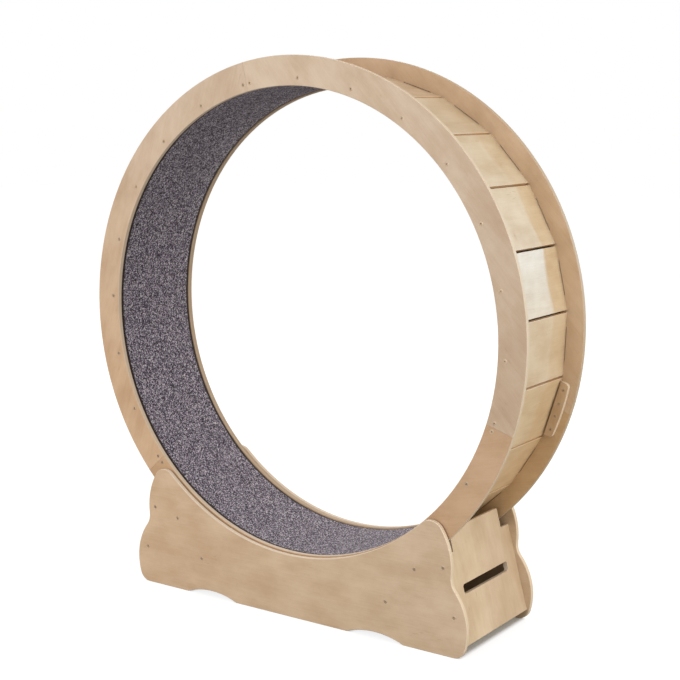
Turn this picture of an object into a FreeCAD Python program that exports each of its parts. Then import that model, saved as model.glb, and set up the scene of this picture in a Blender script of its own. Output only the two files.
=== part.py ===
import FreeCAD, Part
import math
import os

from FreeCAD import Vector

# A cat exercise wheel: a plywood drum lined with carpet, turning on four flanged rollers that
# are hidden in a plywood base.
# Frame: X along the base, Y along the wheel's axis with the front at -Y, Z up. The origin is on
# the floor under the middle of the wheel. Sizes are in millimetres, angles in degrees.

# ---- Rings ----
wheel_diameter = 1010.0
wheel_width = 230.0
wheel_floor_gap = 72.0
ring_band = 56.0
ring_thickness = 9.0
ring_segment_count = 3
ring_joint_angle = -17.9
ring_joint_gap = 0.3

# ---- Slats ----
slat_count = 24
slat_thickness = 9.0
slat_inner_gap = 2.5
slat_round = 0.8
tenon_width = 63.5
tenon_depth = 4.5
mortise_side_gap = 0.25
mortise_outer_gap = 1.2
mortise_end_gap = 0.5

# ---- Carpet lining ----
carpet_recess = 1.2
carpet_thickness = 8.6
carpet_glue_gap = 0.2
carpet_edge_gap = 3.0
carpet_seam_gap = 0.6
carpet_seam_angle = 94.0

# ---- Splice plates ----
splice_length = 110.0
splice_thickness = 9.0
splice_slat_gap = 3.0
splice_rim_margin = 14.0
splice_outer_round = 8.0
splice_inner_round = 2.0
splice_screw_inner = 12.6
splice_screw_outer = 40.3

# ---- Flat-headed wood screws ----
screw_radius = 2.0
screw_head_radius = 4.0
screw_hole_gap = 0.1
screw_tip_gap = 1.0
ring_screw_length = 30.0
joint_screw_offset = 8.0
splice_screw_length = 15.0
panel_screw_length = 30.0

# ---- Side panels ----
# The wheel's rim reaches past each end of the base by base_rim_margin.
panel_thickness = 9.0
panel_wheel_gap = 3.8
panel_ease = 1.5
base_rim_margin = 104.5
low_lobe_radius = 117.5
low_lobe_height = 51.2
high_lobe_inset = 33.5
high_lobe_radius = 134.0
high_lobe_height = 165.0
waist_round = 35.0
foot_round = 25.0
lobe_top_round = 28.0
cutout_ring_gap = 2.0
arch_inner_end = 136.0
arch_outer_end = 264.0
arch_rise = 12.3

# ---- End panels ----
# The shoulders stop short of the rings' rims, and the tab short of the slats.
end_thickness = 9.0
end_tilt = 15.0
end_inset = 8.0
end_floor_gap = 22.0
end_shoulder_gap = 13.9
end_tab_gap = 12.9
end_tab_side_gap = 17.0
end_corner_round = 3.0
end_screw_low = 58.1
end_screw_margin = 20.5
slot_width = 165.0
slot_height = 18.0
slot_middle = 97.5
slot_corner_round = 5.0
board_ease = 1.0

# ---- Rollers ----
roller_angle = 29.8
roller_radius = 30.0
roller_rim_gap = 0.3
flange_radius = 34.0
flange_thickness = 3.0
flange_ring_gap = 1.0
tyre_thickness = 5.0
tyre_round = 1.0
roller_end_play = 0.3
bearing_radius = 11.0
bearing_width = 7.0
bearings_per_roller = 2
bearing_running_gap = 0.05

# ---- Axles ----
axle_radius = 4.0
axle_socket_depth = 5.0
axle_socket_gap = 0.05
washer_radius = 8.0
washer_thickness = 1.5
clip_radius = 7.0
clip_thickness = 1.0
clip_opening = 5.0
clip_groove_depth = 0.8
clip_groove_gap = 0.05

# ---- Roller boards ----
board_thickness = 9.0
board_angle = 50.0
board_axle_gap = 0.05
board_above_axle = 51.5
board_below_axle = 70.0
board_screws = (-53.4, 44.6)
notch_half_length = 36.0
notch_clip_margin = 3.0

# ---- Axle saddles ----
saddle_notch_gap = 11.7
saddle_width = 12.0
saddle_thickness = 1.5
saddle_ear = 11.5
saddle_hole_radius = 1.9
saddle_screw_radius = 1.7
saddle_screw_head_radius = 3.4
saddle_screw_head_height = 2.2
saddle_screw_length = 8.0
saddle_screw_offset = 12.0

# ---- Sizes that follow ----
wheel_radius = wheel_diameter / 2
wheel_height = wheel_floor_gap + wheel_radius
wheel_centre = Vector(0, 0, wheel_height)
ring_inner_radius = wheel_radius - ring_band
ring_outer_face = wheel_width / 2
ring_inner_face = ring_outer_face - ring_thickness
carpet_inner_radius = ring_inner_radius + carpet_recess
carpet_outer_radius = carpet_inner_radius + carpet_thickness
slat_inner = carpet_outer_radius + carpet_glue_gap
slat_outer = slat_inner + slat_thickness
slat_middle = (slat_inner + slat_outer) / 2
slat_pitch = 360.0 / slat_count
slat_width = 2 * slat_inner * math.tan(math.radians(slat_pitch / 2)) - slat_inner_gap
segment_angle = 360.0 / ring_segment_count
slats_per_segment = slat_count // ring_segment_count
splice_inner = slat_outer + splice_slat_gap
splice_outer_radius = wheel_radius - splice_rim_margin
splice_middle = (splice_inner + splice_outer_radius) / 2
splice_screw_places = (-splice_screw_outer, -splice_screw_inner, splice_screw_inner, splice_screw_outer)
slat_sweep = math.hypot(slat_outer, slat_width / 2)

panel_inner_face = ring_outer_face + panel_wheel_gap
panel_outer_face = panel_inner_face + panel_thickness
cutout_radius = ring_inner_radius + cutout_ring_gap
base_length = wheel_diameter - 2 * base_rim_margin
end_foot = Vector(base_length / 2 - end_inset, 0, end_floor_gap)
end_tab_width = 2 * (ring_inner_face - end_tab_side_gap)

axle_distance = wheel_radius + roller_rim_gap + roller_radius
axle_x = axle_distance * math.sin(math.radians(roller_angle))
axle_z = wheel_height - axle_distance * math.cos(math.radians(roller_angle))
hub_radius = roller_radius - tyre_thickness
flange_face = ring_inner_face - flange_ring_gap
hub_inner_end = flange_face - flange_thickness
hub_outer_end = panel_inner_face - washer_thickness - roller_end_play
clip_outer_face = hub_inner_end - roller_end_play
clip_inner_face = clip_outer_face - clip_thickness
notch_inner_end = clip_inner_face - notch_clip_margin
saddle_offset = notch_inner_end - saddle_notch_gap - saddle_width / 2
board_near = axle_radius + board_axle_gap
board_middle = board_near + board_thickness / 2

ALONG_Y = Vector(0, 1, 0)
MIDDLE = Vector(0, 0, 0)


# ---- Small helpers ----

def save(name, shape):
    shape.exportStep("parts/" + name + ".step")


def polar(radius, angle, y):
    turn = math.radians(angle)
    return Vector(radius * math.cos(turn), y, radius * math.sin(turn))


def turned(shape, angle):
    """A copy turned about the wheel's axis, from +X towards +Z."""
    copy = shape.copy()
    copy.rotate(MIDDLE, Vector(0, -1, 0), angle)
    return copy


def in_wheel(shape):
    """A copy moved from the origin to the wheel's centre."""
    return shape.translated(wheel_centre)


def mirrored_x(shape):
    return shape.mirror(MIDDLE, Vector(1, 0, 0))


def mirrored_y(shape):
    return shape.mirror(MIDDLE, ALONG_Y)


def box(x_range, y_range, z_range):
    corner = Vector(x_range[0], y_range[0], z_range[0])
    sizes = [high - low for low, high in (x_range, y_range, z_range)]
    return Part.makeBox(*sizes, corner)


def disc(radius, y_low, y_high):
    """A cylinder about the Y axis between two heights on it."""
    return Part.makeCylinder(radius, y_high - y_low, Vector(0, y_low, 0), ALONG_Y)


def tube(inner_radius, outer_radius, y_low, y_high):
    return disc(outer_radius, y_low, y_high).cut(disc(inner_radius, y_low, y_high))


def eased(solid, radius, thickness_axis):
    """The solid with every edge of its two broad faces rounded."""
    def is_flat(edge):
        size = edge.BoundBox
        return {"x": size.XLength, "y": size.YLength}[thickness_axis] < 1e-6
    return solid.makeFillet(radius, [edge for edge in solid.Edges if is_flat(edge)])


def rounded_corners(solid, radius, picks):
    """The solid with the edges rounded that the given test picks."""
    edges = [edge for edge in solid.Edges if picks(edge)]
    return solid.makeFillet(radius, edges)


def flat_head_screw(point, direction, length, gap=0.0):
    """A screw driven in at the point, or with a gap the hole that it fits."""
    head_radius = screw_head_radius + gap
    shank_radius = screw_radius + gap
    head = Part.makeCone(head_radius, shank_radius, head_radius - shank_radius, point, direction)
    shank = Part.makeCylinder(shank_radius, length, point, direction)
    return head.fuse(shank).removeSplitter()


def screw_hole(point, direction, length):
    return flat_head_screw(point, direction, length + screw_tip_gap, screw_hole_gap)


# ---- Wheel, modelled about the origin and then moved up ----

def joint_angles():
    return [ring_joint_angle + segment_angle * k for k in range(ring_segment_count)]


def slat_angle(number):
    return ring_joint_angle + slat_pitch * number


def is_joint_slat(number):
    return number % slats_per_segment == 0


def ring_screw_offsets(number):
    """Places of the screws across one slat: one in its middle, or one each side of a joint."""
    if is_joint_slat(number):
        return (-joint_screw_offset, joint_screw_offset)
    return (0.0,)


def ring_screws_at(number, make):
    """The screws, or their holes, of both ends of one slat."""
    front = [
        make(Vector(slat_middle, -ring_outer_face, offset), ALONG_Y, ring_screw_length)
        for offset in ring_screw_offsets(number)
    ]
    both = front + [mirrored_y(screw) for screw in front]
    return [turned(screw, slat_angle(number)) for screw in both]


def splice_screws_at(angle, make):
    """The screws, or their holes, of the front and back plate over one joint."""
    front = [
        make(Vector(splice_middle, splice_thickness - ring_inner_face, offset), -ALONG_Y,
             splice_screw_length)
        for offset in splice_screw_places
    ]
    both = front + [mirrored_y(screw) for screw in front]
    return [turned(screw, angle) for screw in both]


def mortise(number):
    """The blind pocket in the front ring that takes the stub tenon of one slat."""
    half_width = tenon_width / 2 + mortise_side_gap
    pocket = box(
        (slat_inner - mortise_side_gap, slat_outer + mortise_outer_gap),
        (-ring_inner_face - tenon_depth - mortise_end_gap, -ring_inner_face + 1),
        (-half_width, half_width),
    )
    return turned(pocket, slat_angle(number))


def ring_sector(start, end):
    """A flat arc of the front ring between two angles."""
    middle = (start + end) / 2
    y = -ring_outer_face
    outline = [
        Part.Arc(*[polar(wheel_radius, a, y) for a in (start, middle, end)]).toShape(),
        Part.makeLine(polar(wheel_radius, end, y), polar(ring_inner_radius, end, y)),
        Part.Arc(*[polar(ring_inner_radius, a, y) for a in (end, middle, start)]).toShape(),
        Part.makeLine(polar(ring_inner_radius, start, y), polar(wheel_radius, start, y)),
    ]
    return Part.Face(Part.Wire(outline)).extrude(Vector(0, ring_thickness, 0))


def ring_segment(index):
    """A front ring segment: from one joint to the next, with its mortises and screw holes."""
    half_gap = math.degrees(ring_joint_gap / 2 / wheel_radius)
    start = joint_angles()[index]
    sector = ring_sector(start + half_gap, start + segment_angle - half_gap)

    def is_rim(edge):
        return edge.BoundBox.YLength < 1e-6 and edge.Length > 2 * ring_band

    solid = rounded_corners(sector, board_ease, is_rim)
    first_slat = index * slats_per_segment
    cuts = []
    for number in range(first_slat, first_slat + slats_per_segment + 1):
        cuts.append(mortise(number))
        cuts.extend(ring_screws_at(number, screw_hole))
    for angle in (start, start + segment_angle):
        cuts.extend(splice_screws_at(angle, screw_hole))
    return solid.cut(cuts)


def slat(number):
    """A flat slat with a stub tenon at each end."""
    half_width = slat_width / 2
    board = box((slat_inner, slat_outer), (-ring_inner_face, ring_inner_face), (-half_width, half_width))
    board = rounded_corners(board, slat_round, lambda edge: edge.BoundBox.YLength > ring_inner_face)
    reach = ring_inner_face + tenon_depth
    tenon = box((slat_inner, slat_outer), (-reach, reach), (-tenon_width / 2, tenon_width / 2))
    solid = turned(board.fuse(tenon).removeSplitter(), slat_angle(number))
    return solid.cut(ring_screws_at(number, screw_hole))


def splice_plate(angle):
    """A front splice plate: straight along the slat, curved with the rim."""
    half_length = splice_length / 2
    y = -ring_inner_face
    corner_x = math.sqrt(splice_outer_radius ** 2 - half_length ** 2)
    outer = [Vector(corner_x, y, -half_length), Vector(splice_outer_radius, y, 0),
             Vector(corner_x, y, half_length)]
    inner = [Vector(splice_inner, y, half_length), Vector(splice_inner, y, -half_length)]
    outline = [
        Part.Arc(*outer).toShape(),
        Part.makeLine(outer[2], inner[0]),
        Part.makeLine(inner[0], inner[1]),
        Part.makeLine(inner[1], outer[0]),
    ]
    plate = Part.Face(Part.Wire(outline)).extrude(Vector(0, splice_thickness, 0))

    def is_upright(edge):
        return edge.BoundBox.YLength > splice_thickness / 2

    plate = rounded_corners(
        plate, splice_outer_round, lambda e: is_upright(e) and e.CenterOfMass.x > splice_inner + 1)
    plate = rounded_corners(
        plate, splice_inner_round, lambda e: is_upright(e) and e.CenterOfMass.x < splice_inner + 1)
    return turned(eased(plate, board_ease, "y"), angle).cut(splice_screws_at(angle, screw_hole))


def carpet_lining():
    """One strip of carpet bent round inside the slats, its two ends meeting in a seam."""
    reach = ring_inner_face - carpet_edge_gap
    strip = tube(carpet_inner_radius, carpet_outer_radius, -reach, reach)
    seam = box(
        (carpet_inner_radius - 1, carpet_outer_radius + 1),
        (-reach, reach),
        (-carpet_seam_gap / 2, carpet_seam_gap / 2),
    )
    return strip.cut(turned(seam, carpet_seam_angle))


def save_wheel():
    for index in range(ring_segment_count):
        segment = ring_segment(index)
        save("ring_front_segment_%d" % (index + 1), in_wheel(segment))
        save("ring_back_segment_%d" % (index + 1), in_wheel(mirrored_y(segment)))
    ring_screws = []
    for number in range(slat_count):
        save("slat_%02d" % (number + 1), in_wheel(slat(number)))
        ring_screws.extend(ring_screws_at(number, flat_head_screw))
    save("ring_screws", in_wheel(Part.makeCompound(ring_screws)))

    plates = [splice_plate(angle) for angle in joint_angles()]
    save("splice_plates_front", in_wheel(Part.makeCompound(plates)))
    save("splice_plates_back", in_wheel(Part.makeCompound([mirrored_y(plate) for plate in plates])))
    splice_screws = []
    for angle in joint_angles():
        splice_screws.extend(splice_screws_at(angle, flat_head_screw))
    save("splice_screws", in_wheel(Part.makeCompound(splice_screws)))
    save("carpet_lining", in_wheel(carpet_lining()))


# ---- Base ----

def end_place():
    """The frame of the right end panel: its outer face at x = 0, z up along the slope."""
    return FreeCAD.Placement(end_foot, FreeCAD.Rotation(ALONG_Y, -end_tilt))


def end_height(radius):
    """How far up its slope the end panel's inner face comes within a radius of the wheel's axis."""
    centre = end_place().inverse().multVec(wheel_centre)
    return centre.z - math.sqrt(radius ** 2 - (centre.x + end_thickness) ** 2)


def shoulder_height():
    """How far up the slope the shoulders are, under the rings' rims."""
    return end_height(wheel_radius + end_shoulder_gap)


def board_place():
    """The frame of the right roller board: the axle on the Y axis, z up along the slope."""
    return FreeCAD.Placement(Vector(axle_x, 0, axle_z), FreeCAD.Rotation(ALONG_Y, 90 - board_angle))


def placed(shape, placement):
    return shape.transformed(placement.toMatrix())


def panel_screw_points():
    """Where the screws of the right half go through a side panel, as (x, z)."""
    end_heights = (end_screw_low, shoulder_height() - end_screw_margin)
    in_end = [end_place().multVec(Vector(-end_thickness / 2, 0, up)) for up in end_heights]
    in_board = [board_place().multVec(Vector(-board_middle, 0, up)) for up in board_screws]
    return [(point.x, point.z) for point in in_end + in_board]


def panel_screws(make):
    """The screws, or their holes, of both side panels."""
    right_front = [
        make(Vector(x, -panel_outer_face, z), ALONG_Y, panel_screw_length)
        for x, z in panel_screw_points()
    ]
    front = right_front + [mirrored_x(screw) for screw in right_front]
    return front + [mirrored_y(screw) for screw in front]


def meet(centre_a, reach_a, centre_b, reach_b, side):
    """The point at given distances from two centres, on one side of the line joining them."""
    across = centre_b - centre_a
    gap = across.Length
    along = (gap ** 2 + reach_a ** 2 - reach_b ** 2) / (2 * gap)
    off = side * math.sqrt(reach_a ** 2 - along ** 2)
    step = across * (1 / gap)
    return centre_a + step * along + Vector(-step.z, 0, step.x) * off


def towards(centre, target, radius):
    """The point of a circle that faces the target."""
    way = target - centre
    return centre + way * (radius / way.Length)


def arc_about(centre, start, end):
    """The shorter arc about a centre between two of its points."""
    radius = (start - centre).Length
    middle = towards(centre, (start + end) * 0.5, radius)
    return Part.Arc(start, middle, end).toShape()


def panel_outline_right():
    """The right half of a side panel's outline, from the floor up to the round cut-out."""
    low = Vector(base_length / 2 - low_lobe_radius, 0, low_lobe_height)
    high = Vector(base_length / 2 - high_lobe_inset - high_lobe_radius, 0, high_lobe_height)
    foot_z = foot_round
    foot_x = low.x + math.sqrt((low_lobe_radius - foot_round) ** 2 - (low.z - foot_z) ** 2)
    foot = Vector(foot_x, 0, foot_z)
    waist = meet(low, low_lobe_radius + waist_round, high, high_lobe_radius + waist_round, -1)
    top = meet(high, high_lobe_radius - lobe_top_round, wheel_centre, cutout_radius + lobe_top_round, -1)

    foot_start = Vector(foot.x, 0, 0)
    foot_end = low + (foot - low) * (low_lobe_radius / (foot - low).Length)
    waist_start = towards(low, waist, low_lobe_radius)
    waist_end = towards(high, waist, high_lobe_radius)
    top_start = towards(high, top, high_lobe_radius)
    top_end = towards(wheel_centre, top, cutout_radius)
    arch_in = Vector(arch_inner_end, 0, 0)
    arch_top = Vector((arch_inner_end + arch_outer_end) / 2, 0, arch_rise)
    arch_out = Vector(arch_outer_end, 0, 0)
    edges = [
        Part.Arc(arch_in, arch_top, arch_out).toShape(),
        Part.makeLine(arch_out, foot_start),
        arc_about(foot, foot_start, foot_end),
        arc_about(low, foot_end, waist_start),
        arc_about(waist, waist_start, waist_end),
        arc_about(high, waist_end, top_start),
        arc_about(top, top_start, top_end),
    ]
    return edges, arch_in, top_end


def side_panel():
    """The front side panel, with blind sockets for the axles and holes for the screws."""
    right, arch_in, cut_end = panel_outline_right()
    left = [mirrored_x(edge) for edge in right]
    floor = Part.makeLine(Vector(-arch_in.x, 0, 0), arch_in)
    lowest = wheel_centre - Vector(0, 0, cutout_radius)
    cutout = Part.Arc(Vector(-cut_end.x, 0, cut_end.z), lowest, cut_end).toShape()
    edges = Part.__sortEdges__(right + left + [floor, cutout])
    face = Part.Face(Part.Wire(edges))
    solid = face.translated(Vector(0, -panel_outer_face, 0)).extrude(Vector(0, panel_thickness, 0))
    solid = eased(solid, panel_ease, "y")
    depth = panel_inner_face + axle_socket_depth
    socket = disc(axle_radius + axle_socket_gap, -depth, -panel_inner_face + 1)
    sockets = [socket.translated(Vector(side * axle_x, 0, axle_z)) for side in (-1, 1)]
    return solid.cut(sockets + panel_screws(screw_hole))


def end_panel():
    """The right end panel: a board with shoulders below the rings and a tab between them."""
    half = panel_inner_face
    tab = end_tab_width / 2
    shoulder = shoulder_height()
    tip = end_height(slat_sweep + end_tab_gap)
    back_half = [
        Vector(0, half, 0),
        Vector(0, half, shoulder),
        Vector(0, tab, shoulder),
        Vector(0, tab, tip),
    ]
    corners = back_half + [Vector(0, -corner.y, corner.z) for corner in reversed(back_half)]
    board = Part.Face(Part.makePolygon(corners + corners[:1])).extrude(Vector(-end_thickness, 0, 0))

    def is_tab_corner(edge):
        return edge.BoundBox.XLength > 1 and edge.CenterOfMass.z > tip - 1

    board = eased(rounded_corners(board, end_corner_round, is_tab_corner), board_ease, "x")
    slot = box(
        (-2 * end_thickness, end_thickness),
        (-slot_width / 2, slot_width / 2),
        (slot_middle - slot_height / 2, slot_middle + slot_height / 2),
    )
    slot = rounded_corners(slot, slot_corner_round, lambda edge: edge.BoundBox.XLength > end_thickness)
    return placed(board.cut(slot), end_place()).cut(panel_screws(screw_hole))


def roller_board():
    """The right roller board: it lies over the axle and is notched round both rollers."""
    half = panel_inner_face
    board = box((-board_near - board_thickness, -board_near), (-half, half),
                (-board_below_axle, board_above_axle))
    board = eased(board, board_ease, "x")
    notch = box(
        (-board_near - 2 * board_thickness, 0),
        (notch_inner_end, 2 * half),
        (-notch_half_length, notch_half_length),
    )
    board = board.cut([notch, mirrored_y(notch)] + saddle_screws(saddle_screw_hole))
    return placed(board, board_place()).cut(panel_screws(screw_hole))


def roller_axle():
    """A steel rod from panel to panel, with a groove for each retaining clip."""
    reach = panel_inner_face + axle_socket_depth - axle_socket_gap
    rod = disc(axle_radius, -reach, reach)
    groove = tube(
        axle_radius - clip_groove_depth,
        2 * axle_radius,
        clip_inner_face - clip_groove_gap,
        clip_outer_face + clip_groove_gap,
    )
    return rod.cut([groove, mirrored_y(groove)]).translated(Vector(axle_x, 0, axle_z))


def saddle():
    """A bent steel strap that holds the axle up against the board."""
    low = saddle_offset - saddle_width / 2
    high = saddle_offset + saddle_width / 2
    inner = axle_radius + board_axle_gap
    outer = inner + saddle_thickness
    loop = disc(outer, low, high).fuse(box((-inner, 0), (low, high), (-outer, outer)))
    tip = outer + saddle_ear
    ears = box((-inner, saddle_thickness - inner), (low, high), (-tip, tip))
    hollow = disc(inner, low, high).fuse(box((-2 * inner, 0), (low, high), (-inner, inner)))
    below = box((-3 * outer, -inner), (low, high), (-outer, outer))
    hole_starts = [Vector(-outer, saddle_offset, z) for z in (-saddle_screw_offset, saddle_screw_offset)]
    holes = [
        Part.makeCylinder(saddle_hole_radius, 2 * outer, start, Vector(1, 0, 0))
        for start in hole_starts
    ]
    return loop.fuse(ears).cut([hollow, below] + holes).removeSplitter()


def saddle_screw(point, direction):
    """A round-headed screw whose head rests at the point."""
    head_start = point - direction * saddle_screw_head_height
    head = Part.makeCylinder(saddle_screw_head_radius, saddle_screw_head_height, head_start, direction)
    rim_round = saddle_screw_head_height / 2
    head = rounded_corners(
        head, rim_round, lambda edge: edge.CenterOfMass.x > head_start.x - rim_round)
    shank = Part.makeCylinder(saddle_screw_radius, saddle_screw_length, point, direction)
    return head.fuse(shank).removeSplitter()


def saddle_screw_hole(point, direction):
    radius = saddle_screw_radius + screw_hole_gap
    return Part.makeCylinder(radius, saddle_screw_length + screw_hole_gap, point, direction)


def saddle_screws(make):
    """The screws, or their holes, of the two saddles of one board, in the board's frame."""
    head_x = saddle_thickness - axle_radius - board_axle_gap
    return [
        make(Vector(head_x, side * saddle_offset, z), Vector(-1, 0, 0))
        for side in (-1, 1)
        for z in (-saddle_screw_offset, saddle_screw_offset)
    ]


def washer():
    ring = tube(axle_radius + axle_socket_gap, washer_radius, -panel_inner_face,
                washer_thickness - panel_inner_face)
    return ring.translated(Vector(axle_x, 0, axle_z))


def retaining_clip():
    """An open spring ring in the axle's groove, on the roller's inner side."""
    ring = tube(axle_radius - clip_groove_depth, clip_radius, -clip_outer_face, -clip_inner_face)
    half = clip_opening / 2
    opening = box((-half, half), (-clip_outer_face, -clip_inner_face), (-2 * clip_radius, 0))
    return ring.cut(opening).translated(Vector(axle_x, 0, axle_z))


def at_four_corners(shape):
    """The front right shape and its three mirror copies."""
    front = [shape, mirrored_x(shape)]
    return front + [mirrored_y(copy) for copy in front]


def save_base():
    front = side_panel()
    save("side_panel_front", front)
    save("side_panel_back", mirrored_y(front))
    for name, right in (("end_panel", end_panel()), ("roller_board", roller_board()),
                        ("roller_axle", roller_axle())):
        save(name + "_right", right)
        save(name + "_left", mirrored_x(right))
    straps = [placed(copy, board_place()) for copy in (saddle(), mirrored_y(saddle()))]
    save("axle_saddles", Part.makeCompound(straps + [mirrored_x(strap) for strap in straps]))
    screws = [placed(screw, board_place()) for screw in saddle_screws(saddle_screw)]
    save("saddle_screws", Part.makeCompound(screws + [mirrored_x(screw) for screw in screws]))
    save("axle_washers", Part.makeCompound(at_four_corners(washer())))
    save("retaining_clips", Part.makeCompound(at_four_corners(retaining_clip())))
    save("panel_screws", Part.makeCompound(panel_screws(flat_head_screw)))


# ---- Rollers, modelled about the Y axis at the front and then moved to their place ----

def roller_hub():
    """A moulded hub with a flange that runs inside the ring."""
    core = disc(hub_radius, -hub_outer_end, -hub_inner_end)
    flange = disc(flange_radius, -flange_face, -hub_inner_end)
    return core.fuse(flange).cut(disc(bearing_radius, -hub_outer_end, -hub_inner_end)).removeSplitter()


def roller_tyre():
    band = disc(roller_radius, -hub_outer_end, -flange_face)
    outer_end = tyre_round - hub_outer_end
    band = rounded_corners(band, tyre_round, lambda edge: edge.CenterOfMass.y < outer_end)
    return band.cut(disc(hub_radius, -hub_outer_end, -flange_face))


def roller_bearings():
    """Ball bearings side by side in the hub's bore."""
    middle = -(hub_outer_end + hub_inner_end) / 2
    first = middle - bearings_per_roller * bearing_width / 2
    starts = [first + bearing_width * k for k in range(bearings_per_roller)]
    bore = axle_radius + bearing_running_gap
    return Part.makeCompound([tube(bore, bearing_radius, y, y + bearing_width) for y in starts])


def save_rollers():
    pieces = (("hub", roller_hub()), ("tyre", roller_tyre()), ("bearings", roller_bearings()))
    for piece_name, front in pieces:
        for depth_name, shape in (("front", front), ("back", mirrored_y(front))):
            for side_name, side in (("left", -1), ("right", 1)):
                name = "roller_%s_%s_%s" % (piece_name, depth_name, side_name)
                save(name, shape.translated(Vector(side * axle_x, 0, axle_z)))


os.makedirs("parts", exist_ok=True)
save_wheel()
save_base()
save_rollers()
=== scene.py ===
import math
import random

import bmesh
import bpy
import numpy as np
from mathutils import Matrix, Vector


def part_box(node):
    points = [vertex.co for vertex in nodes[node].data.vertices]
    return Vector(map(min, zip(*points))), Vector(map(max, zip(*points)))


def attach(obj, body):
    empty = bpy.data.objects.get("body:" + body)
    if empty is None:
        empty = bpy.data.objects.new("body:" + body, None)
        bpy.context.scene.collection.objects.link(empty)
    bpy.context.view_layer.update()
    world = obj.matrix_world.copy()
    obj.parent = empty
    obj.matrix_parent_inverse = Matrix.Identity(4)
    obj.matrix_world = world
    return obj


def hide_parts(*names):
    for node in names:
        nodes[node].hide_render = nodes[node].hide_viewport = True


# A cat exercise wheel of birch plywood. Sizes are in metres: X runs along the base, Y along the
# wheel's axis with the front at -Y, and Z up from the floor.

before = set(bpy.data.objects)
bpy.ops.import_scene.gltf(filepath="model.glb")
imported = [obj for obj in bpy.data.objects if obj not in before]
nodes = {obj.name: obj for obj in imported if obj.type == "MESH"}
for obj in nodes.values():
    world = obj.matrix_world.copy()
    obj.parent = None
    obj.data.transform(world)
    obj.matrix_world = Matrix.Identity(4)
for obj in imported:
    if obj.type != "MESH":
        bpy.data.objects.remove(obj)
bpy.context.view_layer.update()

# ---- Sizes of the frame that the boards' grain and the new pieces follow ----
wheel_centre = Vector((0, 0, 0.577))
ring_middle_y = 0.1105
ring_joint_angle = -17.9
segment_angle = 120.0
segment_count = 3
slat_pitch = 15.0
slat_count = 24
slat_middle_radius = 0.4635
splice_middle_y = 0.1015
panel_middle_y = 0.1233
end_foot = Vector((0.3925, 0, 0.022))
end_tilt = 15.0
board_angle = 50.0
axle_x = 0.26603
axle_z = 0.112485
board_offset = 0.00855
plywood_thickness = 0.009
ply_count = 7
board_half_length = 0.42
end_panel_half_width = 0.1

# ---- Colours, as sRGB from 0 to 255 ----
ring_light = (210, 190, 163)
ring_dark = (188, 163, 133)
slat_light = (217, 203, 180)
slat_dark = (197, 176, 146)
base_light = (205, 186, 159)
base_dark = (184, 160, 130)
glue_line = (192, 169, 140)
fleck_brown = (160, 122, 86)
knot_brown = (168, 122, 82)
knot_heart = (140, 98, 64)

# Edges: side grain, end grain and worn rims; the worn rims are partly a painted highlight, and
# the back ring's edges are painted darker as painted shade.
base_edges = ((229, 220, 204), (211, 196, 173), (230, 221, 206))
slat_edges = ((214, 184, 150), (190, 156, 120), (230, 221, 206))
ring_edges_and_shade = {
    "front": ((216, 205, 187), (199, 183, 160), (216, 205, 187)),
    # Painted shade: the back ring's edges are darker copies of the front ring's, for its far rims
    # in shade.
    "back": ((190, 174, 151), (174, 155, 130), (190, 174, 151)),
}

# How each board differs from its kind, as factors of red, green and blue at its two ends; for the
# rings, the slats and the end panels these are partly painted light and shade. The end panels'
# two ends are their sides towards the back and the front of the wheel.
# Painted light and shade on the rings: the front ring is painted lighter and cooler towards its top
# and warmer and darker towards its bottom, and the back ring lighter or darker in places, as the
# light falls on them; the rest is the veneers' own tone.
ring_tones_and_shade = {
    "front": [((0.88, 0.90, 0.94), (1.04, 1.11, 1.20)), ((1.01, 1.06, 1.13), (1.04, 0.96, 0.88)),
              ((0.92, 0.81, 0.69), (0.87, 0.78, 0.69))],
    "back": [((1.08, 1.07, 1.07), (0.95, 0.91, 0.86)), ((0.98, 0.97, 0.93), (1.03, 1.04, 1.05)),
             ((0.98, 0.95, 0.90), (1.10, 1.06, 0.93))],
}
# Painted shade among the slats' factors: the sixth, the slat at 57 degrees, is painted darker,
# standing in for the back ring's shadow on it.
slat_tones_and_shade = [(1.02, 0.97, 0.90), (0.97, 0.96, 0.97), (1.01, 1.03, 1.06), (1.00, 1.02, 1.05),
              (0.98, 1.02, 1.07), (0.93, 0.94, 0.95)]
# Painted shade: the lowest slats, from first_lower_slat on, are painted warmer and darker, as slats
# in shade.
lower_slat_painted_shade = (1.04, 0.94, 0.82)
first_lower_slat = 22
# Places of small knots, along and across the grain, by the slat's number from 0.
slat_knots = {3: (-0.027, -0.032), 10: (0.052, 0.031), 17: (-0.018, 0.024)}
slat_shades = (0.97, 1.0)
splice_tones = ((0.98, 0.90, 0.80), (0.95, 0.86, 0.76))
panel_tones = ((1.12, 1.09, 1.05), (1.05, 1.07, 1.09))
# Painted light and shade: the end panels are painted lighter and bluer towards the front of the
# wheel and darker towards the back, where the back panel shades them.
end_tones_and_shade = ((1.05, 1.09, 1.18), (1.19, 1.29, 1.44))

# How strongly the wandering bands of the grain show.
ring_figure = 0.5
base_figure = 0.3
slat_figures = (0.4, 1.3)

# ---- Camera, with its lens and sensor in millimetres ----
camera_place = (1.6012, -2.2088, 0.9873)
camera_right = (0.8162, 0.5777, -0.0058)
camera_forward = (-0.5706, 0.8046, -0.1644)
focal_length = 74.2
sensor_width = 36.0

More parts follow.
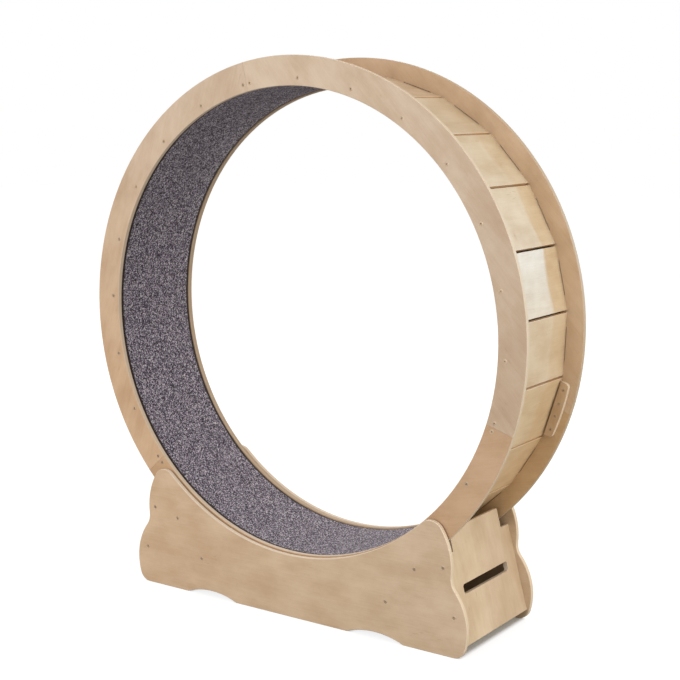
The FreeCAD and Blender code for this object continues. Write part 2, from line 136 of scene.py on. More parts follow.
# ---- Light and floor ----
lamps = {
    # name: (place, target, size, watts, colour)
    "right": ((3.2, 0.2, 1.2), (0.0, 0.0, 0.6), 1.6, 37.0, (1.0, 0.938, 0.744)),
    "front": ((0.2, -3.4, 1.5), (0.0, 0.0, 0.5), 2.2, 51.7, (0.886, 0.916, 1.0)),
    "low": ((1.2, -3.2, 0.35), (0.0, 0.0, 0.5), 1.2, 7.8, (1.0, 0.861, 0.789)),
    "rear": ((-1.7, 3.1, 1.5), (0.0, 0.0, 0.5), 2.0, 31.0, (1.0, 0.96, 0.90)),
}
# A narrow beam from behind on the right, past the back ring's rim, on the slats' outsides.
beam_place = (2.07, 2.67, 1.26)
beam_target = (0.42, 0.0, 0.72)
beam_width = 14.5
beam_softness = 0.35
beam_radius = 0.16
beam_watts = 126.0
beam_colour = (0.326, 0.68, 1.0)
sky_strength = 0.826
sky_colour = (1.0, 0.866, 0.773, 1.0)

# The floor: what it throws back, and what the camera sees of it.
floor_reach = 12.0
floor_bounce = 0.35
floor_colour = (0.88, 0.92, 0.97, 1)
floor_glow = 1.2
glow_share = 0.68
# The limits, from the middle outwards, between which the floor inside the base turns pale, the
# arches under the panels begin and end along X, and the painted light under them rises along Y.
inside_half_length = (0.375, 0.39)
inside_half_width = (0.1235, 0.1265)
arch_inner_end = (0.13, 0.15)
arch_outer_end = (0.25, 0.27)
arch_painted_light = (0.065, 0.105)


# ---- Small helpers ----

def colour(red, green, blue):
    """An sRGB colour from 0 to 255 as Blender's linear colour."""
    def linear(part):
        part /= 255
        return part / 12.92 if part <= 0.04045 else ((part + 0.055) / 1.055) ** 2.4
    return (linear(red), linear(green), linear(blue), 1.0)


def radial(angle):
    """The direction from the wheel's axis at an angle, in degrees from +X towards +Z."""
    turn = math.radians(angle)
    return Vector((math.cos(turn), 0, math.sin(turn)))


def tangent(angle):
    """The direction along the rim at an angle, square to the radial one."""
    return radial(angle + 90)


class Graph:
    """A node material, with short calls for its nodes."""

    def __init__(self, name):
        self.material = bpy.data.materials.new(name)
        self.material.use_nodes = True
        self.tree = self.material.node_tree
        self.tree.nodes.clear()

    def feed(self, socket, value):
        if isinstance(value, bpy.types.NodeSocket):
            self.tree.links.new(value, socket)
        else:
            socket.default_value = value

    def node(self, kind, inputs=None, **settings):
        made = self.tree.nodes.new("ShaderNode" + kind)
        for key, value in settings.items():
            setattr(made, key, value)
        for key, value in (inputs or {}).items():
            self.feed(made.inputs[key], value)
        return made

    def maths(self, operation, *values, clamp=False):
        made = self.node("Math", operation=operation, use_clamp=clamp)
        for socket, value in zip(made.inputs, values):
            self.feed(socket, value)
        return made.outputs[0]

    def vector(self, operation, *values, output="Vector"):
        made = self.node("VectorMath", operation=operation)
        for socket, value in zip(made.inputs, values):
            self.feed(socket, value)
        return made.outputs[output]

    def rise(self, value, low, high, to_low=0.0, to_high=1.0):
        """A smooth step of the value between two limits."""
        made = self.node("MapRange", {"Value": value, "From Min": low, "From Max": high,
                                      "To Min": to_low, "To Max": to_high},
                         interpolation_type="SMOOTHSTEP")
        return made.outputs[0]

    def mix(self, factor, first, second, blend="MIX"):
        made = self.node("Mix", data_type="RGBA", blend_type=blend)
        for index, value in ((0, factor), (6, first), (7, second)):
            self.feed(made.inputs[index], value)
        return made.outputs[2]

    def mix_numbers(self, factor, first, second):
        made = self.node("Mix", data_type="FLOAT")
        for index, value in ((0, factor), (2, first), (3, second)):
            self.feed(made.inputs[index], value)
        return made.outputs[0]

    def noise(self, vector, scale=1.0, detail=2.0, roughness=0.5, seed=0.0):
        made = self.node("TexNoise", {"Vector": vector, "W": seed, "Scale": scale, "Detail": detail,
                                      "Roughness": roughness}, noise_dimensions="4D")
        return made.outputs[0]

    def ramp(self, factor, stops):
        made = self.node("ValToRGB", {"Fac": factor})
        elements = made.color_ramp.elements
        while len(elements) < len(stops):
            elements.new(0.5)
        for element, (place, shade) in zip(elements, stops):
            element.position = place
            element.color = shade
        return made.outputs[0]

    def bump(self, height, distance, strength=1.0):
        made = self.node("Bump", {"Height": height, "Distance": distance, "Strength": strength})
        return made.outputs[0]

    def finish(self, inputs):
        shader = self.node("BsdfPrincipled", inputs)
        output = self.node("OutputMaterial")
        self.tree.links.new(shader.outputs[0], output.inputs["Surface"])
        return self.material


# ---- Plywood ----
knot_size = (0.007, 0.0115)
yellower = (0.985, 0.98, 0.955, 1)
redder = (1.02, 0.97, 0.95, 1)


def plywood(name, centre, grain, normal, light, dark, seed, tones_and_shade, figure=1.0, knot=None,
            edges=base_edges, spread=(0, board_half_length)):
    """Lacquered birch plywood: veneer grain on the faces, plies on the edges, eased rims paler,
    partly as a painted highlight.

    centre is a point in the middle of the board's thickness, grain the direction of its face
    veneers and normal the direction through its thickness. tones_and_shade are the board's
    factors of red, green and blue at two opposite ends or sides: its own tone, and for some boards
    painted light and shade. knot is the place of a small knot, along and across the grain. edges
    are the colours of side grain, end grain and worn rims, the rims partly a painted highlight and
    the back ring's edges painted shade, and spread says which way the tones and painted shade run
    (0 along the grain, 1 across it) and how far from the centre."""
    graph = Graph(name)
    across = normal.cross(grain)
    turn = Matrix((grain, across, normal))
    place = graph.node("TexCoord")
    local = graph.node("Mapping", {"Vector": place.outputs["Object"], "Location": -(turn @ centre),
                                   "Rotation": turn.to_euler("XYZ")}, vector_type="POINT")
    local = local.outputs[0]

    def turned_to(direction):
        """How far the surface is turned towards a direction or its opposite, from 0 to 1."""
        return graph.maths("ABSOLUTE", graph.vector("DOT_PRODUCT", place.outputs["Normal"],
                                                    direction, output="Value"))

    def stretched(along, sideways):
        return graph.vector("MULTIPLY", local, (along, sideways, sideways))

    facing = turned_to(normal)
    along_edge = turned_to(grain)

    # Rotary-cut veneer: broad wandering bands, streaks, fine fibres and a soft mottle.
    wander = graph.noise(stretched(1.7, 9.0), detail=3.0, roughness=0.45, seed=seed)
    bands = graph.maths("SINE", graph.maths("MULTIPLY", wander, 62.0))
    bands = graph.rise(bands, -0.2, 1.0)
    streaks = graph.noise(stretched(8.0, 90.0), detail=4.0, roughness=0.6, seed=seed + 3.1)
    fibres = graph.noise(stretched(24.0, 620.0), detail=3.0, roughness=0.65, seed=seed + 7.7)
    mottle = graph.noise(stretched(11.0, 17.0), detail=5.0, roughness=0.62, seed=seed + 11.3)
    tint = graph.noise(stretched(3.0, 4.5), detail=2.0, seed=seed + 17.9)

    depth = graph.maths("MULTIPLY", bands, 0.08 * figure)
    depth = graph.maths("MULTIPLY_ADD", streaks, 0.24, depth)
    depth = graph.maths("MULTIPLY_ADD", fibres, 0.3, depth)
    depth = graph.maths("MULTIPLY_ADD", mottle, 1.0, depth)
    depth = graph.rise(depth, 0.5, 1.1)
    face = graph.mix(depth, colour(*light), colour(*dark))
    face = graph.mix(graph.rise(tint, 0.35, 0.65), face,
                     graph.mix(1.0, face, yellower, "MULTIPLY"))
    face = graph.mix(graph.rise(tint, 0.62, 0.8), face,
                     graph.mix(1.0, face, redder, "MULTIPLY"))

    parts = graph.node("SeparateXYZ", {"Vector": local}).outputs
    # The tones, and for some boards painted light and shade, drift from one end or side to the
    # other.
    drift = graph.rise(parts[spread[0]], -spread[1], spread[1])
    face = graph.mix(1.0, face, graph.mix(drift, (*tones_and_shade[0], 1), (*tones_and_shade[1], 1)), "MULTIPLY")

    # Pith flecks, short and brown, here and there.
    flecks = graph.noise(stretched(55.0, 330.0), detail=1.0, seed=seed + 23.0)
    clusters = graph.noise(stretched(7.0, 13.0), detail=1.0, seed=seed + 29.0)
    flecks = graph.maths("MULTIPLY", graph.rise(flecks, 0.66, 0.76),
                         graph.rise(clusters, 0.52, 0.66))
    face = graph.mix(graph.maths("MULTIPLY", flecks, 0.35), face, colour(*fleck_brown))

    if knot:
        from_knot = graph.vector("SUBTRACT", local, (knot[0], knot[1], 0))
        from_knot = graph.vector("MULTIPLY", from_knot, (1 / knot_size[0], 1 / knot_size[1], 0))
        swirl = graph.vector("LENGTH", from_knot, output="Value")
        swirl = graph.maths("MULTIPLY_ADD", mottle, 1.6, graph.maths("ADD", swirl, -0.8))
        face = graph.mix(graph.rise(swirl, 0.1, 1.4, 0.26, 0.0), face, colour(*knot_brown))
        face = graph.mix(graph.rise(swirl, 0.05, 0.4, 0.3, 0.0), face, colour(*knot_heart))

    # The edges show the plies: end grain is darker, and a thin glue line parts them.
    layer = graph.maths("MULTIPLY_ADD", parts[2], ply_count / plywood_thickness, ply_count / 2)
    waver = graph.noise(stretched(60.0, 60.0), detail=1.0, seed=seed + 31.0)
    layer = graph.maths("ADD", layer, graph.maths("MULTIPLY_ADD", waver, 0.24, -0.12))
    wave = graph.maths("SINE", graph.maths("MULTIPLY", layer, math.pi))
    along_ply = graph.rise(wave, -0.12, 0.12)
    end_grain = graph.mix_numbers(along_ply, graph.maths("SUBTRACT", 1.0, along_edge), along_edge)
    pores = graph.noise(local, scale=900.0, detail=2.0, seed=seed + 37.0)
    end_depth = graph.maths("MULTIPLY_ADD", graph.rise(pores, 0.35, 0.7), 0.3,
                            graph.maths("MULTIPLY", end_grain, 0.75), clamp=True)
    edge = graph.mix(end_depth, colour(*edges[0]), colour(*edges[1]))
    glue = graph.rise(graph.maths("ABSOLUTE", wave), 0.0, 0.3, 0.45, 0.0)
    edge = graph.mix(glue, edge, colour(*glue_line))

    on_edge = graph.rise(facing, 0.35, 0.75, 1.0, 0.0)
    board = graph.mix(on_edge, face, edge)
    # The eased rims are mixed towards the worn colour: paler worn wood, and partly a painted
    # highlight where the rims catch light.
    rim = graph.maths("MULTIPLY", graph.rise(facing, 0.12, 0.5),
                      graph.rise(facing, 0.86, 0.985, 1.0, 0.0))
    rim = graph.maths("MULTIPLY", rim, graph.rise(mottle, 0.3, 0.6, 0.25, 0.55))
    board = graph.mix(rim, board, colour(*edges[2]))

    roughness = graph.maths("MULTIPLY_ADD", fibres, 0.16, 0.36)
    roughness = graph.maths("MULTIPLY_ADD", on_edge, 0.14, roughness)
    grooves = graph.maths("MULTIPLY_ADD", streaks, 0.5, graph.maths("MULTIPLY", fibres, 0.5))
    steps = graph.maths("MULTIPLY_ADD", glue, -0.8, graph.maths("MULTIPLY", pores, 0.3))
    height = graph.mix_numbers(on_edge, grooves, steps)
    return graph.finish({"Base Color": board, "Roughness": roughness,
                         "Normal": graph.bump(height, 0.0002, 0.6)})


def finish_boards():
    """Gives each board of the wheel and of the base its own plywood."""
    up = Vector((0, 0, 1))
    along_y = Vector((0, 1, 0))
    shades = random.Random(11)

    def scaled(tone, factor):
        return tuple(part * factor for part in tone)

    for index in range(segment_count):
        middle = ring_joint_angle + segment_angle * (index + 0.5)
        for depth, side in (("front", -1), ("back", 1)):
            name = "ring_%s_segment_%d" % (depth, index + 1)
            centre = wheel_centre + along_y * side * ring_middle_y
            use(name, plywood(name, centre, tangent(middle), along_y, ring_light, ring_dark,
                              3.0 * index + 40.0 * (side + 1), ring_tones_and_shade[depth][index],
                              ring_figure, edges=ring_edges_and_shade[depth]))
    for index in range(slat_count):
        name = "slat_%02d" % (index + 1)
        out = radial(ring_joint_angle + slat_pitch * index)
        # The slats after the listed ones repeat the first five tones and painted shades.
        tone = slat_tones_and_shade[index] if index < len(slat_tones_and_shade) else slat_tones_and_shade[index % 5]
        # The lowest slats take painted shade in place of their tones.
        if index >= first_lower_slat:
            tone = lower_slat_painted_shade
        tone = scaled(tone, shades.uniform(*slat_shades))
        use(name, plywood(name, wheel_centre + out * slat_middle_radius, along_y, out, slat_light,
                          slat_dark, 101.0 + 5.3 * index, (tone, tone),
                          shades.uniform(*slat_figures), slat_knots.get(index), slat_edges))
    for depth, side in (("front", -1), ("back", 1)):
        name = "splice_plates_" + depth
        use(name, plywood(name, wheel_centre + along_y * side * splice_middle_y, up, along_y,
                          slat_light, ring_dark, 301.0 + side, splice_tones))
        name = "side_panel_" + depth
        use(name, plywood(name, along_y * side * panel_middle_y, Vector((1, 0, 0)), along_y,
                          base_light, base_dark, 351.0 + side, panel_tones, base_figure))
    tilt = math.radians(end_tilt)
    slope = math.radians(90 - board_angle)
    for hand, side in (("right", 1), ("left", -1)):
        normal = Vector((side * math.cos(tilt), 0, math.sin(tilt)))
        rising = Vector((-side * math.sin(tilt), 0, math.cos(tilt)))
        foot = Vector((side * end_foot.x, 0, end_foot.z)) - normal * plywood_thickness / 2
        name = "end_panel_" + hand
        use(name, plywood(name, foot, rising, normal, base_light, base_dark, 401.0 + side,
                          end_tones_and_shade[::side], base_figure, spread=(1, end_panel_half_width)))
        normal = Vector((side * math.cos(slope), 0, -math.sin(slope)))
        middle = Vector((side * axle_x, 0, axle_z)) - normal * board_offset
        name = "roller_board_" + hand
        use(name, plywood(name, middle, along_y, normal, base_light, base_dark, 451.0 + side,
                          panel_tones))


def use(name, material):
    """Gives a CAD node its material."""
    for slot in nodes[name].material_slots:
        slot.material = material


# ---- Metal, nylon and rubber ----

def steel(name, shade, roughness, stretch, seed, metallic=1.0):
    """Plated or ground steel, with faint cloudy patches and fine scratches."""
    graph = Graph(name)
    place = graph.node("TexCoord").outputs["Object"]
    clouds = graph.noise(place, scale=90.0, detail=4.0, seed=seed)
    scratches = graph.noise(graph.vector("MULTIPLY", place, stretch), detail=3.0, roughness=0.7,
                            seed=seed + 5.0)
    tone = graph.mix(graph.rise(clouds, 0.3, 0.7), colour(*[part * 0.9 for part in shade]),
                     colour(*shade))
    rough = graph.maths("MULTIPLY_ADD", scratches, 0.2, roughness - 0.1)
    rough = graph.maths("MULTIPLY_ADD", clouds, 0.1, rough)
    return graph.finish({"Base Color": tone, "Metallic": metallic, "Roughness": rough,
                         "Normal": graph.bump(scratches, 0.00003, 0.5)})


def moulded(name, shade, roughness, grain_size, depth, seed):
    """Moulded nylon or rubber, with a fine texture and slightly uneven colour."""
    graph = Graph(name)
    place = graph.node("TexCoord").outputs["Object"]
    grain = graph.noise(place, scale=1 / grain_size, detail=3.0, roughness=0.6, seed=seed)
    clouds = graph.noise(place, scale=70.0, detail=2.0, seed=seed + 4.0)
    tone = graph.mix(graph.rise(clouds, 0.3, 0.7), colour(*[part * 0.88 for part in shade]),
                     colour(*shade))
    rough = graph.maths("MULTIPLY_ADD", grain, 0.16, roughness - 0.08)
    return graph.finish({"Base Color": tone, "Roughness": rough,
                         "Normal": graph.bump(grain, depth, 0.7)})


# ---- New pieces ----

def build(name, vertices, faces, material, body, replaced, sharp_angle=35.0):
    """A new piece that rides a body in the place of CAD nodes, smooth below an angle."""
    mesh = bpy.data.meshes.new(name)
    mesh.from_pydata(vertices, [], faces)
    mesh.polygons.foreach_set("use_smooth", [True] * len(mesh.polygons))
    mesh.set_sharp_from_angle(angle=math.radians(sharp_angle))
    mesh.materials.append(material)
    mesh.update()
    piece = bpy.data.objects.new(name, mesh)
    bpy.context.scene.collection.objects.link(piece)
    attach(piece, body)
    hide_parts(*replaced)
    return piece


def solids(name):
    """The separate solids of a CAD node, each as an array of its vertices' places."""
    shape = bmesh.new()
    shape.from_mesh(nodes[name].data)
    bmesh.ops.remove_doubles(shape, verts=shape.verts, dist=1e-6)
    shape.verts.ensure_lookup_table()
    shape.verts.index_update()
    seen = set()
    found = []
    for start in shape.verts:
        if start.index in seen:
            continue
        seen.add(start.index)
        queue, points = [start], []
        while queue:
            vertex = queue.pop()
            points.append(vertex.co[:])
            for edge in vertex.link_edges:
                other = edge.other_vert(vertex)
                if other.index not in seen:
                    seen.add(other.index)
                    queue.append(other)
        found.append(np.array(points))
    shape.free()
    return found


def screw_frames(name, axis_at):
    """Where each screw of a node is: the middle of its head's outer end, and its direction."""
    places = []
    for points in solids(name):
        middle = (points.min(0) + points.max(0)) / 2
        axis = np.array(axis_at(middle))
        along = points @ axis
        ends = []
        for limit, way in ((along.min(), 1), (along.max(), -1)):
            rim = points[np.abs(along - limit) < 0.0012]
            centre = (rim.min(0) + rim.max(0)) / 2
            flat = centre + axis * (limit - centre @ axis)
            from_flat = rim - flat
            sideways = from_flat - np.outer(from_flat @ axis, axis)
            ends.append((np.linalg.norm(sideways, axis=1).max(), flat, way))
        spread, head, way = max(ends, key=lambda end: end[0])
        places.append((Vector(head), Vector(axis) * way))
    return places


thread_pitch = 0.0011
thread_core = 0.72
tip_length = 0.005
tip_radius = 0.0002
smallest_taper = 0.12


def cross_radius(angle, half_width, reach):
    """The outline of a cross recess, as its radius at an angle."""
    turn = (angle + math.pi / 4) % (math.pi / 2) - math.pi / 4
    if abs(math.tan(turn)) <= half_width / reach:
        return reach / math.cos(turn)
    return half_width / abs(math.sin(turn))


def lathe(rings):
    """A closed skin through rings of points: lists of equal length, one after another."""
    count = len(rings[0])
    vertices = [point for ring in rings for point in ring]
    faces = []
    for level in range(len(rings) - 1):
        low, high = level * count, (level + 1) * count
        for k in range(count):
            after = (k + 1) % count
            faces.append((low + k, high + k, high + after, low + after))
    faces.append(tuple(range(count)))
    last = (len(rings) - 1) * count
    faces.append(tuple(range(last + count - 1, last - 1, -1)))
    return vertices, faces


def screw_shape(head_profile, shank_radius, start, length, cross):
    """A screw along +Z from the middle of its head: a head with a cross recess, and a thread."""
    half_width, reach, depth, top = cross
    corner = math.atan(half_width / reach)
    steps = [-0.55, -0.4, -corner, -0.1, 0.1, corner, 0.4, 0.55, math.pi / 4]
    angles = [quarter * math.pi / 2 + step for quarter in range(4) for step in steps]

    def circle(radius, z, around):
        return [(radius * math.cos(a), radius * math.sin(a), z) for a in around]

    def cross_ring(scale, z):
        return [(cross_radius(a, half_width, reach) * scale * math.cos(a),
                 cross_radius(a, half_width, reach) * scale * math.sin(a), z) for a in angles]

    rings = [cross_ring(0.35, top + depth), cross_ring(0.86, top + depth * 0.45),
             cross_ring(1.0, top)]
    rings += [circle(radius, z, angles) for radius, z in head_profile]
    vertices, faces = lathe(rings)
    around = [math.tau * k / 10 for k in range(10)]
    threads = []
    z = start
    crest = False
    while z < length:
        taper = min(1.0, max(smallest_taper, (length - z) / tip_length))
        radius = shank_radius * (1.0 if crest else thread_core) * taper
        threads.append(circle(radius, z, around))
        crest = not crest
        z += thread_pitch / 2 if crest else thread_pitch
    threads.append(circle(tip_radius, length, around))
    more, more_faces = lathe(threads)
    first = len(vertices)
    return vertices + more, faces + [tuple(first + i for i in face) for face in more_faces]


def build_screws(name, node, body, shape, axis_at, material, seed):
    """One new screw in the place of each screw of a CAD node, turned at random."""
    turns = random.Random(seed)
    base_vertices, base_faces = shape
    vertices, faces = [], []
    for head, direction in screw_frames(node, axis_at):
        turn = direction.to_track_quat("Z", "Y").to_matrix() @ Matrix.Rotation(
            turns.uniform(0, math.tau), 3, "Z")
        first = len(vertices)
        vertices += [head + turn @ Vector(point) for point in base_vertices]
        faces += [tuple(first + i for i in face) for face in base_faces]
    return build(name, vertices, faces, material, body, [node])


def flat_head(length):
    """A countersunk wood screw."""
    profile = [(0.0032, 0.00006), (0.0037, 0.00008), (0.00392, 0.0002), (0.00388, 0.0004),
               (0.0021, 0.00208), (0.0017, 0.0024)]
    return screw_shape(profile, 0.00196, 0.0024, length, (0.00052, 0.0021, 0.0017, 0.00004))


def round_head(length):
    """A pan head wood screw."""
    profile = [(0.0023, 0.0001), (0.0029, 0.00055), (0.0033, 0.0012), (0.00338, 0.0018),
               (0.0033, 0.00218), (0.0016, 0.0022)]
    return screw_shape(profile, 0.00165, 0.0022, length, (0.00045, 0.0017, 0.0013, 0.00004))


def build_all_screws(zinc):
    """The screws of the rings, splice plates, side panels and axle saddles."""
    def along_y(middle):
        return (0, 1, 0)

    def through_board(middle):
        slope = math.radians(90 - board_angle)
        return (math.copysign(math.cos(slope), middle[0]), 0, -math.sin(slope))

    kinds = (("ring_screws", "wheel", flat_head(0.0299), along_y),
             ("splice_screws", "wheel", flat_head(0.0149), along_y),
             ("panel_screws", "base", flat_head(0.0299), along_y),
             ("saddle_screws", "base", round_head(0.0101), through_board))
    for seed, (node, body, shape, axis_at) in enumerate(kinds, 1):
        build_screws(node + "_cross", node, body, shape, axis_at, zinc, seed)


bearing_width = 0.00698
bearing_clearance = 0.00001


def build_bearing(name, node, body, material):
    """A pair of shielded ball bearings in the place of a node: rings, chamfers and sunk shields."""
    low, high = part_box(node)
    x, middle, z = ((first + last) / 2 for first, last in zip(low, high))
    half = [(0.00406, 0.0004), (0.00455, 0.0), (0.0062, 0.0), (0.0063, 0.0001), (0.0063, 0.0005),
            (0.0089, 0.0005), (0.0089, 0.0001), (0.009, 0.0), (0.0107, 0.0), (0.01098, 0.0003)]
    outline = half + [(radius, bearing_width - y) for radius, y in reversed(half)]
    vertices, faces = [], []
    around = 48
    for start in (middle - bearing_width - bearing_clearance, middle + bearing_clearance):
        first = len(vertices)
        count = len(outline)
        for k in range(around):
            turn = math.tau * k / around
            vertices += [(x + radius * math.cos(turn), start + y, z + radius * math.sin(turn))
                         for radius, y in outline]
        for k in range(around):
            here, there = first + k * count, first + (k + 1) % around * count
            for j in range(count):
                after = (j + 1) % count
                faces.append((here + j, there + j, there + after, here + after))
    return build(name, vertices, faces, material, body, [node], 25.0)


# ---- Carpet lining ----
pile_radius = 0.4502
backing_radius = 0.4588
carpet_reach = 0.1042
pile_roll = 0.003
roll_depth = 0.0012
carpet_seam_angle = 94.0
carpet_seam_gap = 0.0006
carpet_ease = 0.0004
backing_depth = 0.0012
relief_depth = 0.0009
rows_along = 840
rows_across = 64

# Yarn from dark to light, painted shade in the gaps between its loops, and the dark edges and
# backing: painted shade at the pile's edges, the backing's own colour below.
yarn_shades = ((0.0, (48, 45, 59)), (0.3, (88, 84, 101)), (0.55, (127, 123, 143)),
               (0.8, (171, 168, 189)), (1.0, (227, 226, 239)))
pile_gap_shade = (50, 46, 53)
edge_shade_and_backing = (40, 31, 29)
yarn_width = 0.0019
yarn_slant = 28.0
yarn_waver = 0.0018
# Where the painted edge shade begins and is full towards an edge, and where the backing's own
# dark colour begins and is full down into the backing.
edge_shade_fade = (0.0965, 0.1)
backing_fade = (0.0014, 0.0028)


def carpet_material():
    """Heather loop pile: short slanted strokes of light and dark yarn."""
    graph = Graph("carpet_pile")
    strip = graph.node("Attribute", attribute_name="strip").outputs["Vector"]
    slanted = graph.node("Mapping", {"Vector": strip, "Rotation": (0, 0, math.radians(yarn_slant))},
                         vector_type="POINT").outputs[0]
    waver = graph.node("TexNoise", {"Vector": strip, "Scale": 260.0, "Detail": 2.0})
    slanted = graph.vector("MULTIPLY_ADD", waver.outputs["Color"], (yarn_waver,) * 3, slanted)
    strokes = graph.vector("MULTIPLY", slanted, (1 / yarn_width,) * 3)
    yarn = graph.node("TexVoronoi", {"Vector": strokes, "Scale": 1.0, "Randomness": 0.9})
    pick = graph.node("SeparateXYZ", {"Vector": yarn.outputs["Color"]}).outputs[0]
    fine = graph.noise(strip, scale=1300.0, detail=2.0, seed=2.0)
    shade = graph.maths("MULTIPLY_ADD", fine, 0.5, graph.maths("MULTIPLY_ADD", pick, 1.3, -0.4))
    wool = graph.ramp(shade, [(place, colour(*tone)) for place, tone in yarn_shades])
    # Painted shade between the yarn loops, darkest where the cells meet.
    hollow_shade = graph.rise(yarn.outputs["Distance"], 0.3, 0.75, 0.0, 0.55)
    wool = graph.mix(hollow_shade, wool, colour(*pile_gap_shade))
    parts = graph.node("SeparateXYZ", {"Vector": strip}).outputs
    # Painted shade: the pile's last few millimetres towards each edge are painted dark brown for
    # the shade in the groove beside the rings; deeper down it is the backing's own dark colour.
    edge_shade_and_backing_mask = graph.maths("MAXIMUM", graph.rise(graph.maths("ABSOLUTE", parts[1]), *edge_shade_fade),
                          graph.rise(parts[2], *backing_fade))
    wool = graph.mix(graph.maths("MULTIPLY", edge_shade_and_backing_mask, 0.95), wool, colour(*edge_shade_and_backing))
    height = graph.maths("MULTIPLY_ADD", yarn.outputs["Distance"], -1.0,
                         graph.maths("MULTIPLY", fine, 0.5))
    return graph.finish({"Base Color": wool, "Roughness": 0.94, "Sheen Weight": 0.12,
                         "Sheen Roughness": 0.5, "Specular IOR Level": 0.2,
                         "Normal": graph.bump(height, 0.0009, 0.8)})


def build_carpet():
    """One strip of carpet bent round inside the slats, with its pile towards the axis."""
    relief = np.random.RandomState(5).rand(rows_along + 1, rows_across + 1)
    relief = 0.25 * np.roll(relief, 1, 0) + 0.6 * relief + 0.25 * np.roll(relief, -1, 0)
    relief = relief_depth * (relief - relief.min()) / (relief.max() - relief.min())
    across = np.linspace(-carpet_reach, carpet_reach, rows_across + 1)
    trim = np.clip((np.abs(across) - (carpet_reach - pile_roll)) / pile_roll, 0, 1)
    section_y = np.concatenate([across, [carpet_reach, carpet_reach - carpet_ease,
                                         -carpet_reach + carpet_ease, -carpet_reach]])
    half_gap = math.degrees(carpet_seam_gap / 2 / pile_radius)
    angles = np.radians(np.linspace(carpet_seam_angle + half_gap,
                                    carpet_seam_angle + 360 - half_gap, rows_along + 1))
    middle_radius = (pile_radius + backing_radius) / 2
    vertices, strip = [], []
    for row, angle in enumerate(angles):
        pile = pile_radius + relief[row] * (1 - trim) + roll_depth * trim ** 2
        section = np.concatenate([pile, [backing_radius - backing_depth, backing_radius,
                                         backing_radius, backing_radius - backing_depth]])
        along = (angle - angles[0]) * middle_radius
        for radius, y in zip(section, section_y):
            vertices.append((radius * math.cos(angle), y,
                             wheel_centre.z + radius * math.sin(angle)))
            strip.append((along, y, radius - pile_radius))
    count = len(section_y)
    faces = []
    for row in range(rows_along):
        here, there = row * count, (row + 1) * count
        for k in range(count):
            after = (k + 1) % count
            faces.append((here + k, here + after, there + after, there + k))
    faces.append(tuple(range(count - 1, -1, -1)))
    faces.append(tuple(range(rows_along * count, (rows_along + 1) * count)))
    piece = build("carpet_pile", vertices, faces, carpet_material(), "wheel",
                  ["carpet_lining"], 70.0)
    layer = piece.data.attributes.new("strip", "FLOAT_VECTOR", "POINT")
    layer.data.foreach_set("vector", np.array(strip, dtype=np.float32).ravel())


# ---- Camera, light and floor ----

def place_camera():
    """A camera level with the upper part of the wheel, in front and to the right."""
    right = Vector(camera_right).normalized()
    forward = Vector(camera_forward)
    forward = (forward - right * forward.dot(right)).normalized()
    up = right.cross(forward)
    lens = bpy.data.cameras.new("camera")
    lens.sensor_width = sensor_width
    lens.lens = focal_length
    lens.clip_start = 0.05
    lens.clip_end = 60.0
    camera = bpy.data.objects.new("camera", lens)
    turn = Matrix((right, up, -forward)).transposed().to_4x4()
    camera.matrix_world = Matrix.Translation(camera_place) @ turn
    bpy.context.scene.collection.objects.link(camera)
    bpy.context.scene.camera = camera


def hang(name, kind, place, target, watts, tint):
    """A new lamp at a place, turned towards a target. Returns its light."""
    light = bpy.data.lights.new(name + "_lamp", kind)
    light.energy = watts
    light.color = tint
    lamp = bpy.data.objects.new(name + "_lamp", light)
    lamp.location = place
    away = Vector(target) - Vector(place)
    lamp.rotation_euler = away.to_track_quat("-Z", "Y").to_euler()
    lamp.visible_camera = False
    bpy.context.scene.collection.objects.link(lamp)
    return light


def place_lamps():
    for name, (place, target, size, watts, tint) in lamps.items():
        light = hang(name, "AREA", place, target, watts, tint)
        light.shape = "DISK"
        light.size = size
    light = hang("beam", "SPOT", beam_place, beam_target, beam_watts, beam_colour)
    light.shadow_soft_size = beam_radius
    light.spot_size = math.radians(beam_width)
    light.spot_blend = beam_softness


def white_world():
    """A world that is white to the camera and a soft warm sky to everything else."""
    scene = bpy.context.scene
    scene.view_settings.view_transform = "Standard"
    world = bpy.data.worlds.new("white_room")
    world.use_nodes = True
    tree = world.node_tree
    tree.nodes.clear()
    seen = tree.nodes.new("ShaderNodeLightPath")
    strength = tree.nodes.new("ShaderNodeMix")
    strength.data_type = "FLOAT"
    strength.inputs[2].default_value = sky_strength
    strength.inputs[3].default_value = 1.0
    background = tree.nodes.new("ShaderNodeBackground")
    tint = tree.nodes.new("ShaderNodeMix")
    tint.data_type = "RGBA"
    tint.inputs[6].default_value = sky_colour
    tint.inputs[7].default_value = (1, 1, 1, 1)
    output = tree.nodes.new("ShaderNodeOutputWorld")
    tree.links.new(seen.outputs["Is Camera Ray"], strength.inputs[0])
    tree.links.new(seen.outputs["Is Camera Ray"], tint.inputs[0])
    tree.links.new(tint.outputs[2], background.inputs["Color"])
    tree.links.new(strength.outputs[0], background.inputs["Strength"])
    tree.links.new(background.outputs[0], output.inputs["Surface"])
    scene.world = world


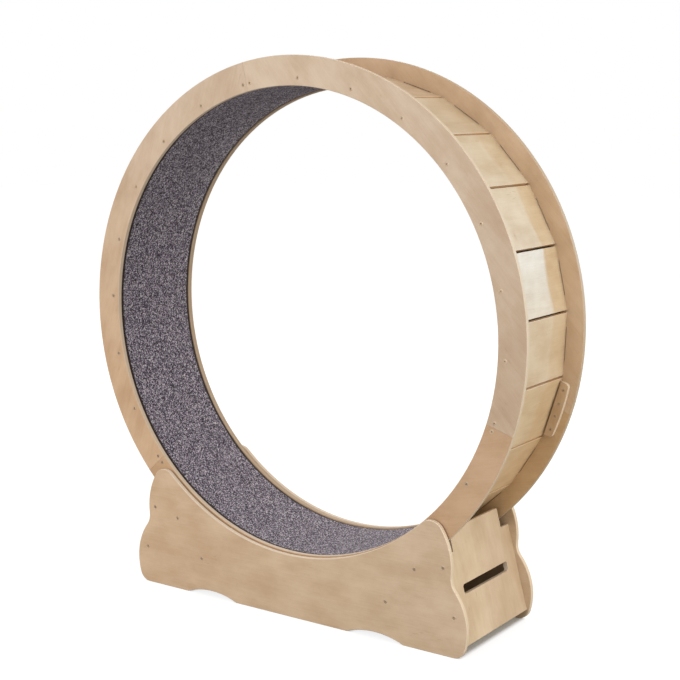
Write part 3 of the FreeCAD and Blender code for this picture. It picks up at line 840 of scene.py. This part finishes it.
def pale_floor():
    """A pale floor that keeps the object's shadow: part of what the camera sees of it glows."""
    graph = Graph("pale_floor")
    bounce = graph.node("BsdfDiffuse", {"Color": (floor_bounce, floor_bounce, floor_bounce, 1)})
    seen = graph.node("BsdfDiffuse", {"Color": floor_colour})
    glow = graph.node("Emission", {"Color": (1, 1, 1, 1), "Strength": floor_glow})
    # The floor inside the base is plain and dark, but under the panels' arches its glow is kept:
    # painted light.
    place = graph.node("TexCoord").outputs["Object"]
    parts = graph.node("SeparateXYZ", {"Vector": place}).outputs
    across = graph.maths("ABSOLUTE", parts[0])
    depth = graph.maths("ABSOLUTE", parts[1])
    inside = graph.maths("MULTIPLY", graph.rise(across, *inside_half_length, 1.0, 0.0),
                         graph.rise(depth, *inside_half_width, 1.0, 0.0))
    painted_light_under_arch = graph.maths("MULTIPLY", graph.rise(across, *arch_inner_end),
                             graph.rise(across, *arch_outer_end, 1.0, 0.0))
    painted_light_under_arch = graph.maths("MULTIPLY", painted_light_under_arch, graph.rise(depth, *arch_painted_light))
    inside = graph.maths("MULTIPLY", inside, graph.maths("SUBTRACT", 1.0, painted_light_under_arch))
    share = graph.maths("MULTIPLY_ADD", inside, -glow_share, glow_share)
    white = graph.node("MixShader", {0: share, 1: seen.outputs[0], 2: glow.outputs[0]})
    path = graph.node("LightPath")
    mixed = graph.node("MixShader", {0: path.outputs["Is Camera Ray"], 1: bounce.outputs[0],
                                     2: white.outputs[0]})
    output = graph.node("OutputMaterial")
    graph.tree.links.new(mixed.outputs[0], output.inputs["Surface"])
    mesh = bpy.data.meshes.new("floor")
    corners = [(x * floor_reach, y * floor_reach, 0)
               for x, y in ((-1, -1), (1, -1), (1, 1), (-1, 1))]
    mesh.from_pydata(corners, [], [(0, 1, 2, 3)])
    mesh.materials.append(graph.material)
    floor = bpy.data.objects.new("floor", mesh)
    bpy.context.scene.collection.objects.link(floor)


# ---- Put together ----

place_camera()
place_lamps()
white_world()
pale_floor()
finish_boards()

zinc = steel("zinc_plate", (186, 188, 190), 0.34, (700, 700, 700), 1.0)
rod = steel("axle_steel", (192, 192, 194), 0.3, (300, 3000, 300), 2.0)
ground = steel("ground_steel", (205, 206, 208), 0.22, (900, 200, 900), 3.0)
for name in ("axle_saddles", "axle_washers", "retaining_clips"):
    use(name, zinc)
for hand in ("right", "left"):
    use("roller_axle_" + hand, rod)
yellow_zinc = steel("yellow_zinc_plate", (212, 194, 167), 0.46, (700, 700, 700), 4.0, 0.85)
build_all_screws(yellow_zinc)
nylon = moulded("moulded_nylon", (222, 219, 208), 0.5, 0.0006, 0.00005, 1.0)
rubber = moulded("matt_rubber", (44, 43, 43), 0.78, 0.0009, 0.00012, 2.0)
for depth in ("front", "back"):
    for hand in ("left", "right"):
        corner = "%s_%s" % (depth, hand)
        use("roller_hub_" + corner, nylon)
        use("roller_tyre_" + corner, rubber)
        build_bearing("bearing_pair_" + corner, "roller_bearings_" + corner, "roller_" + corner,
                      ground)
build_carpet()
